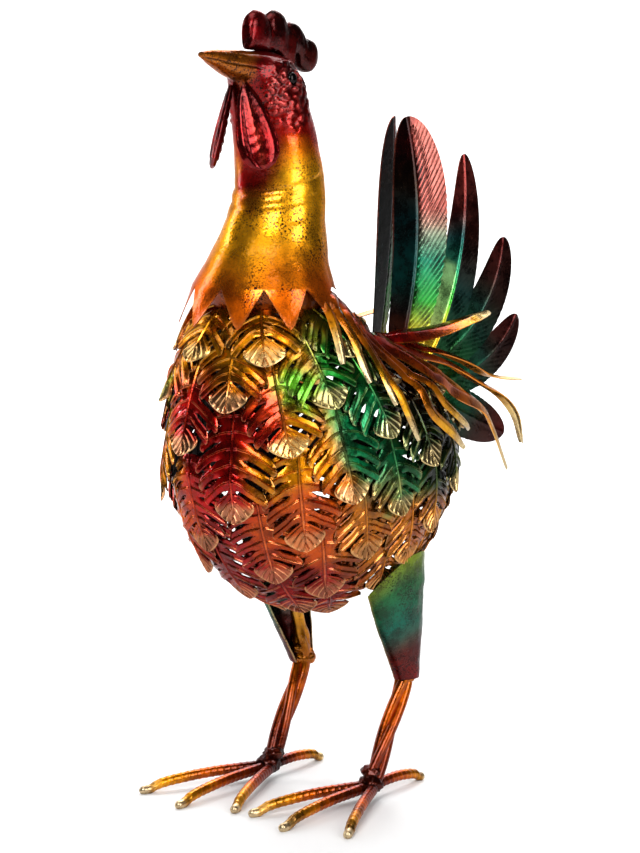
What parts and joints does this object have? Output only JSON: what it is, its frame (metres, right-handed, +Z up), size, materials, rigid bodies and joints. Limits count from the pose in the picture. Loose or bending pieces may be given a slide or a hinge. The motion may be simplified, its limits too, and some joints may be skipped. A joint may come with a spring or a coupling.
{
  "type": "hen garden ornament",
  "caption": "Standing garden hen of pressed and painted sheet iron, with a pierced body of leaves, a comb, wattles, a fanned tail and wire-like toes.",
  "frame": {"origin": "middle of the bounding box at the ground, under the toes", "axes": "+Z up, the bird faces -Y and its left side is +X"},
  "size_m": [0.2056, 0.3606, 0.5994],
  "materials": {
    "leaf_lacquer": "glossy candy lacquer in red, gold, green and teal",
    "neck_lacquer": "glossy candy lacquer from red to gold and orange",
    "comb_lacquer": "glossy dark red candy lacquer",
    "tail_lacquer": "glossy candy lacquer from dark red to teal and green",
    "saddle_lacquer": "glossy copper-orange lacquer with cream tips",
    "thigh_lacquer": "speckled green lacquer that turns red below",
    "leg_lacquer": "glossy copper-orange lacquer"
  },
  "bodies": {
    "root": {"body_of_leaves": "leaf_lacquer", "head_and_neck": "neck_lacquer", "comb": "comb_lacquer", "wattle_left": "comb_lacquer", "wattle_right": "comb_lacquer", "tail_feather_left_1": "tail_lacquer", "tail_feather_left_2": "tail_lacquer", "tail_feather_left_3": "tail_lacquer", "tail_feather_left_4": "tail_lacquer", "tail_feather_left_5": "tail_lacquer", "tail_feather_right_1": "tail_lacquer", "tail_feather_right_2": "tail_lacquer", "tail_feather_right_3": "tail_lacquer", "tail_feather_right_4": "tail_lacquer", "tail_feather_right_5": "tail_lacquer", "saddle_feathers_left": "saddle_lacquer", "saddle_feathers_right": "saddle_lacquer", "thigh_left": "thigh_lacquer", "thigh_right": "thigh_lacquer", "shank_left": "leg_lacquer", "shank_right": "leg_lacquer", "toe_left_inner": "leg_lacquer", "toe_left_middle": "leg_lacquer", "toe_left_outer": "leg_lacquer", "toe_left_hind": "leg_lacquer", "toe_right_inner": "leg_lacquer", "toe_right_middle": "leg_lacquer", "toe_right_outer": "leg_lacquer", "toe_right_hind": "leg_lacquer"}
  },
  "joints": []
}
